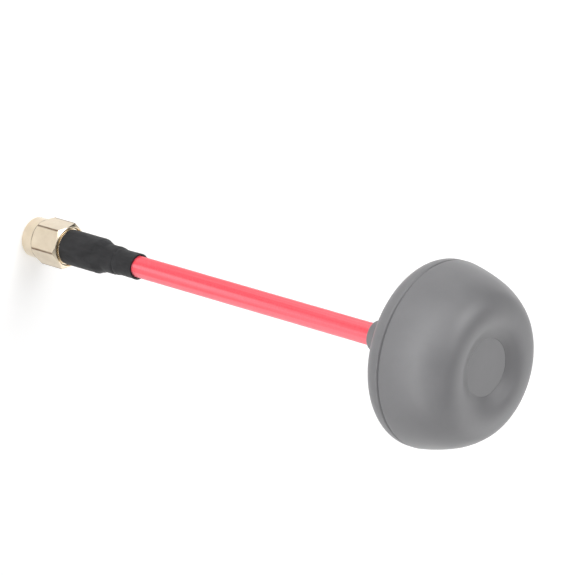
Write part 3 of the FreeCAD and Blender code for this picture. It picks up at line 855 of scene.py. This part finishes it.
# %% Turn the sleeve
SLEEVE_WALL = 0.42
SLEEVE_START = 9.6
SLEEVE_MOUTH = 27.95
BARREL_RADIUS = 2.98
BARREL_END = 18.1
FERRULE_RADIUS = 2.29
FERRULE_END = 22.6
SLEEVE_DROP = 1.9
SLEEVE_FALL = 1.2
CREASE = 0.07
CREASE_EVERYWHERE = 0.35
CREASED_STEPS = [
    # height of the step, how far past it the creases are strongest, how far they reach, how strong
    (BARREL_END, 0.6, 1.3, 1.0),
    (FERRULE_END, 0.3, 1.1, 0.8),
]
FOLDS_ROUND = 2.2
FOLDS_ALONG = 0.55
FOLDS = [(1.0, 1.0), (0.5, 2.1), (0.3, 4.3)]
PINCH_HEIGHT = 22.85
PINCH_DEPTH = 0.22
PINCH_WIDTH = 0.24
SWELLING_BEHIND = 0.75
SWELLING_RISE = 0.07
SWELLING_WIDTH = 0.4
PINCH_SIDE = math.radians(-58.0)
LIP_REACH = 0.6
LIP_WANDER = 0.18
LIP_WAVES = 1.3
LIP_CUT_BACK = 0.03
LIP_RAISE = 0.05
LIP_FOOT = 1.2
FLARE_LENGTH = 0.56
FLARE_GAP = 0.14
LONGEST_STEP = 0.14
SLEEVE_SIDES = 160

over_barrel = BARREL_RADIUS + SLEEVE_WALL
over_ferrule = FERRULE_RADIUS + SLEEVE_WALL
over_sheath = SHEATH_RADIUS + SLEEVE_WALL
outer_corners = [
    (over_sheath + LIP_RAISE, SLEEVE_MOUTH),
    (over_sheath, SLEEVE_MOUTH - LIP_FOOT),
    (over_sheath, FERRULE_END + SLEEVE_FALL),
    (over_ferrule, FERRULE_END),
    (over_ferrule, BARREL_END + SLEEVE_DROP),
    (over_barrel, BARREL_END - 0.1),
    (over_barrel, SLEEVE_START),
]
inner_corners = [
    (BARREL_RADIUS, SLEEVE_START),
    (BARREL_RADIUS, BARREL_END),
    (FERRULE_RADIUS, BARREL_END + SLEEVE_DROP),
    (FERRULE_RADIUS, FERRULE_END),
    (SHEATH_RADIUS, FERRULE_END + SLEEVE_FALL),
    (SHEATH_RADIUS, SLEEVE_MOUTH - FLARE_LENGTH),
    (SHEATH_RADIUS + FLARE_GAP, SLEEVE_MOUTH),
]
softened = soften(
    outer_corners + inner_corners,
    steps=8,
    special={
        **{0: 0.09, 1: 1.5, 2: 1.6, 3: 1.2, 4: 1.4, 5: 1.3, 6: 0.12, 13: 0.05},
        **{corner: 0.0 for corner in range(7, 13)},
    },
)
sleeve_outline = []
for start, end in zip(softened, softened[1:] + softened[:1]):
    pieces_between = max(1, int(math.dist(start, end) / LONGEST_STEP))
    sleeve_outline += along(start, end, pieces_between)
gaps_to_bore = [math.dist(point, inner_corners[0]) for point in sleeve_outline]
first_inside = gaps_to_bore.index(min(gaps_to_bore))


def crease(index, radius, height, angle):
    """Move the outside of the sleeve in and out, most of all near its steps and its lip."""
    on_lip = Vector((LIP_WAVES * math.cos(angle), LIP_WAVES * math.sin(angle), 4.0))
    cut = LIP_WANDER * ripple.noise(on_lip)
    if height > SLEEVE_MOUTH - LIP_REACH:
        height += cut * (height - SLEEVE_MOUTH + LIP_REACH) / LIP_REACH - LIP_CUT_BACK
    if index >= first_inside:
        return radius, height
    near_step = max(
        strength * math.exp(-((height - step - past) / reach) ** 2)
        for step, past, reach, strength in CREASED_STEPS
    )
    place = Vector(
        (FOLDS_ROUND * math.cos(angle), FOLDS_ROUND * math.sin(angle), height * FOLDS_ALONG)
    )
    fold = sum(size * ripple.noise(place * finer) for size, finer in FOLDS)
    on_side = (0.5 + 0.5 * math.cos(angle - PINCH_SIDE)) ** 2
    past_pinch = height - PINCH_HEIGHT
    dent = PINCH_DEPTH * math.exp(-((past_pinch / PINCH_WIDTH) ** 2))
    dent -= SWELLING_RISE * math.exp(-(((past_pinch - SWELLING_BEHIND) / SWELLING_WIDTH) ** 2))
    return radius + CREASE * fold * (CREASE_EVERYWHERE + near_step) - on_side * dent, height


sleeve = make_piece(
    "sleeve",
    turned_mesh(sleeve_outline, evenly(SLEEVE_SIDES), crease),
    "antenna",
    black_shrink,
)
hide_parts("heat_shrink_sleeve")

# %% [markdown]
# ## The coupling nut
#
# The nut starts as a turned blank: a round collar in front and a wider part behind it, with a
# shallow recess in its rear face. Six flats are milled on the wider part, and cones at both ends
# take its corners off. Cutting a solid with booleans gives ragged edges, so the rings are shaped
# directly: at each angle the outline reaches out as far as the hexagon does there, and the cones
# meet it exactly where they should. The thread inside is the same idea, because its radius depends
# on the height and on the angle together.

# %% Shape of the nut
NUT_LENGTH = 9.4
NUT_FLATS = 8.0
COLLAR_RADIUS = 3.96
COLLAR_LENGTH = 2.75
REAR_RADIUS = 3.85
FRONT_SLOPE = math.tan(math.radians(50.0))
REAR_SLOPE = math.tan(math.radians(35.0))
BORE = 2.86
THREAD_ROOT = 3.17
THREAD_PITCH = 0.7056
THREAD_END = 5.2
THREAD_FLAT = 0.10
THREAD_FLANK = 0.78
THREAD_FADE = 0.6
THREAD_ROWS = 96
THREAD_TOP = THREAD_END + 0.5
PLAIN_BORE_START = THREAD_END + 0.6
CORNER_ROUND = 0.10
RECESS = 0.40
RECESS_START = REAR_RADIUS - 0.09
RECESS_FLOOR = REAR_RADIUS - 0.30
LEAD_IN = 0.35
RING_GROOVE = (6.5, 7.2)
NUT_GROOVE_RADIUS = 3.285


def hexagon_reach(angle):
    """How far the milled hexagon reaches at an angle, with its corners rounded."""
    sector = (angle + math.pi / 6) % (math.pi / 3) - math.pi / 6
    from_corner = abs(sector)
    apothem = NUT_FLATS / 2
    reach = apothem / math.cos(math.pi / 6 - from_corner)
    centre = (apothem - CORNER_ROUND) / math.cos(math.pi / 6)
    across = centre * math.sin(from_corner)
    if across < CORNER_ROUND * math.sin(math.pi / 6):
        rounded = centre * math.cos(from_corner) + math.sqrt(CORNER_ROUND**2 - across**2)
        return min(reach, rounded)
    return reach


def thread_depth(angle, height):
    """How deep the thread is cut at a point of the bore, from 0 to 1."""
    phase = (height / THREAD_PITCH - angle / (2 * math.pi)) % 1.0
    slope = abs(phase - 0.5) * 2
    return max(0.0, min(1.0, (slope - THREAD_FLAT) / THREAD_FLANK))


fine = [0.0, 0.25, 0.5, 0.8, 1.1, 1.4, 1.8, 2.4, 3.2, 4.4]
coarse = [7.0 + 3.0 * step for step in range(8)]
offsets = fine + coarse + [30.0]
sector_angles = sorted({-o for o in offsets if o < 30.0} | set(offsets))
nut_angles = [
    math.radians(60.0 * corner + offset) for corner in range(6) for offset in sector_angles
]
print("points round the nut:", len(nut_angles))

# %% [markdown]
# ### The nut's outline at one angle
#
# On a lathe the corners of the nut would be broken with a file, all round, after the flats are
# milled. A Bevel modifier could do it here, but it leaves an uneven number of points where flat and
# cone meet. So each angle gets the same outline, stretched to reach the hexagon there, and its
# corners are rounded one by one.

# %% Rows of the nut, from the mouth over the outside to the bore
def nut_column(reach):
    """Outline of the nut where its hexagon reaches out that far, as corners and their radii."""
    front = COLLAR_LENGTH + (reach - COLLAR_RADIUS) * FRONT_SLOPE
    rear = NUT_LENGTH - (reach - REAR_RADIUS) * REAR_SLOPE
    return [
        ((BORE + LEAD_IN, 0.0), 0.05),
        ((COLLAR_RADIUS, 0.0), 0.5),
        ((COLLAR_RADIUS, COLLAR_LENGTH), 0.05),
        ((reach, front), 0.07),
        ((reach, rear), 0.07),
        ((REAR_RADIUS, NUT_LENGTH), 0.06),
        ((RECESS_START, NUT_LENGTH), 0.03),
        ((RECESS_FLOOR, NUT_LENGTH - RECESS), 0.03),
        ((BORE, NUT_LENGTH - RECESS), 0.03),
        ((BORE, RING_GROOVE[1]), 0.0),
        ((NUT_GROOVE_RADIUS, RING_GROOVE[1]), 0.0),
        ((NUT_GROOVE_RADIUS, RING_GROOVE[0]), 0.0),
        ((BORE, RING_GROOVE[0]), 0.0),
        ((BORE, PLAIN_BORE_START), 0.0),
    ]


def nut_rows(reach):
    """The rounded outline at one angle. Every angle gives the same number of points."""
    corners = nut_column(reach)
    points = [point for point, _ in corners]
    radii = {index: radius for index, (_, radius) in enumerate(corners)}
    radii[0] = 0.0
    radii[len(corners) - 1] = 0.0
    return soften(points, steps=5, special=radii)


bore_heights = [THREAD_TOP * (1 - step / THREAD_ROWS) for step in range(THREAD_ROWS)]
columns = [nut_rows(hexagon_reach(angle)) for angle in nut_angles]
print("rows of the nut:", len(columns[0]) + len(bore_heights))

# %% [markdown]
# ### Thread and mouth
#
# A rolled thread would be swept along a helix. Here the bore is a cylinder of rows, and each point
# is pushed out by the depth of the thread at its height and angle. The depth fades out at the
# mouth's lead-in and at the inner end, just as a tap leaves it.

# %% Build the nut
nut_data = bmesh.new()
nut_grid = []
for angle, column in zip(nut_angles, columns):
    points = list(column)
    for height in bore_heights:
        lead_in = BORE + LEAD_IN - height if height < LEAD_IN else 0.0
        fade = max(0.0, min(1.0, (THREAD_END - height) / THREAD_FADE))
        cut = BORE + (THREAD_ROOT - BORE) * thread_depth(angle, height) * fade
        points.append((max(cut, lead_in), height))
    nut_grid.append(
        [
            nut_data.verts.new((r * math.cos(angle) * MM, r * math.sin(angle) * MM, z * MM))
            for r, z in points
        ]
    )
for first, second in zip(nut_grid, nut_grid[1:] + nut_grid[:1]):
    for row in range(len(first)):
        below = (row + 1) % len(first)
        nut_data.faces.new((first[row], second[row], second[below], first[below]))
coupling_nut = make_piece("hexagon_nut", nut_data, "nut", gold_with_painted_shading, sharp=35.0)
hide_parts("coupling_nut")

# %% [markdown]
# ## Inside the plug's mouth
#
# Looking into the nut one sees the outer contact, the white insulator, the centre pin with its
# bevelled tip and the rubber gasket. The solids have these already. They are turned again with many
# more points and rounded edges, because they are small and shiny, and facets would show. The metal
# body of the outer contact runs on through the nut, and a narrow collar on it shows as a gold ring
# between the nut and the black sleeve.

# %% Turn the plug's parts
REFERENCE = 2.9
CONTACT_RADIUS = 2.3
BEAD_RADIUS = 2.05
BEAD_END = 9.2
SEAT_RADIUS = 2.5
SEAT_START = 4.95
SHOULDER = 5.55
GASKET_RADIUS = 2.74
SHANK = 2.79
BODY_GROOVE_RADIUS = 2.535
FLANGE_RADIUS = 3.36
FLANGE_START = 9.1
FLANGE_END = SLEEVE_START - 0.01
PIN_TIP = 0.6
PIN_BEVEL = 0.28
PIN_RADIUS = 0.46
PIN_ROOT_RADIUS = 0.635
PIN_END = 8.9
PIN_SOCKET = 6.9
FERRULE_SEAT = 3.5
FERRULE_START = BARREL_END - FERRULE_SEAT
PLUG_SIDES = 96
plug_parts = {
    "outer_contact": (
        "connector_body",
        [
            (BEAD_RADIUS, REFERENCE),
            (CONTACT_RADIUS, REFERENCE),
            (CONTACT_RADIUS, SEAT_START),
            (SEAT_RADIUS, SEAT_START),
            (SEAT_RADIUS, SHOULDER),
            (SHANK, SHOULDER),
            (SHANK, RING_GROOVE[0]),
            (BODY_GROOVE_RADIUS, RING_GROOVE[0]),
            (BODY_GROOVE_RADIUS, RING_GROOVE[1]),
            (SHANK, RING_GROOVE[1]),
            (SHANK, FLANGE_START),
            (FLANGE_RADIUS, FLANGE_START),
            (FLANGE_RADIUS, FLANGE_END),
            (BARREL_RADIUS, FLANGE_END),
            (BARREL_RADIUS, BARREL_END),
            (FERRULE_RADIUS, BARREL_END),
            (FERRULE_RADIUS, FERRULE_START),
            (COAX_RADIUS, FERRULE_START),
            (COAX_RADIUS, BEAD_END),
            (BEAD_RADIUS, BEAD_END),
        ],
        "gold_plate",
        gold_plate,
    ),
    "insulator": (
        "connector_insulator",
        [
            (PIN_ROOT_RADIUS, REFERENCE),
            (BEAD_RADIUS, REFERENCE),
            (BEAD_RADIUS, BEAD_END),
            (PIN_ROOT_RADIUS, BEAD_END),
        ],
        "ptfe",
        ptfe,
    ),
    "contact_pin": (
        "centre_pin",
        [
            (0.0, PIN_TIP),
            (PIN_RADIUS - PIN_BEVEL, PIN_TIP),
            (PIN_RADIUS, PIN_TIP + PIN_BEVEL),
            (PIN_RADIUS, REFERENCE),
            (PIN_ROOT_RADIUS, REFERENCE),
            (PIN_ROOT_RADIUS, PIN_END),
            (PIN_RADIUS, PIN_END),
            (PIN_RADIUS, PIN_SOCKET),
            (0.0, PIN_SOCKET),
        ],
        "gold_plate",
        gold_plate,
    ),
    "gasket": (
        "nut_gasket",
        [
            (SEAT_RADIUS, SEAT_START),
            (GASKET_RADIUS, SEAT_START),
            (GASKET_RADIUS, SHOULDER),
            (SEAT_RADIUS, SHOULDER),
        ],
        "gasket_rubber",
        gasket_rubber,
    ),
}
for part_name, (node, corners, slot, finish) in plug_parts.items():
    part = make_piece(
        part_name,
        turned_mesh(soften(corners, default=0.03), evenly(PLUG_SIDES)),
        "antenna",
        finish,
    )
    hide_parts(node)

# %% [markdown]
# ## Finishes for the parts that stay
#
# The rest of the frame keeps its own meshes: the wire loops in the head, the coaxial line, the
# solder joints and the spring ring. Each gets the finish that its slot in the record names.

# %% Give the frame's own parts their finishes
slot_finishes = {
    "gold_plate": gold_plate,
    "spring_bronze": spring_bronze,
    "gasket_rubber": gasket_rubber,
    "ptfe": ptfe,
    "solder": solder,
    "silvered_wire": silvered_wire,
    "tinned_copper": tinned_copper,
    "red_sheath": red_sheath,
    "black_shrink": black_shrink,
    "grey_plastic": grey_plastic,
    "adhesive": adhesive,
    "copper_wire": copper_wire,
}
for subpart in frame["record"]["subparts"]:
    node = frame["nodes"][subpart["node"]]
    finish = slot_finishes[subpart["material_slot"]]
    for material_slot in node.material_slots:
        material_slot.material = finish
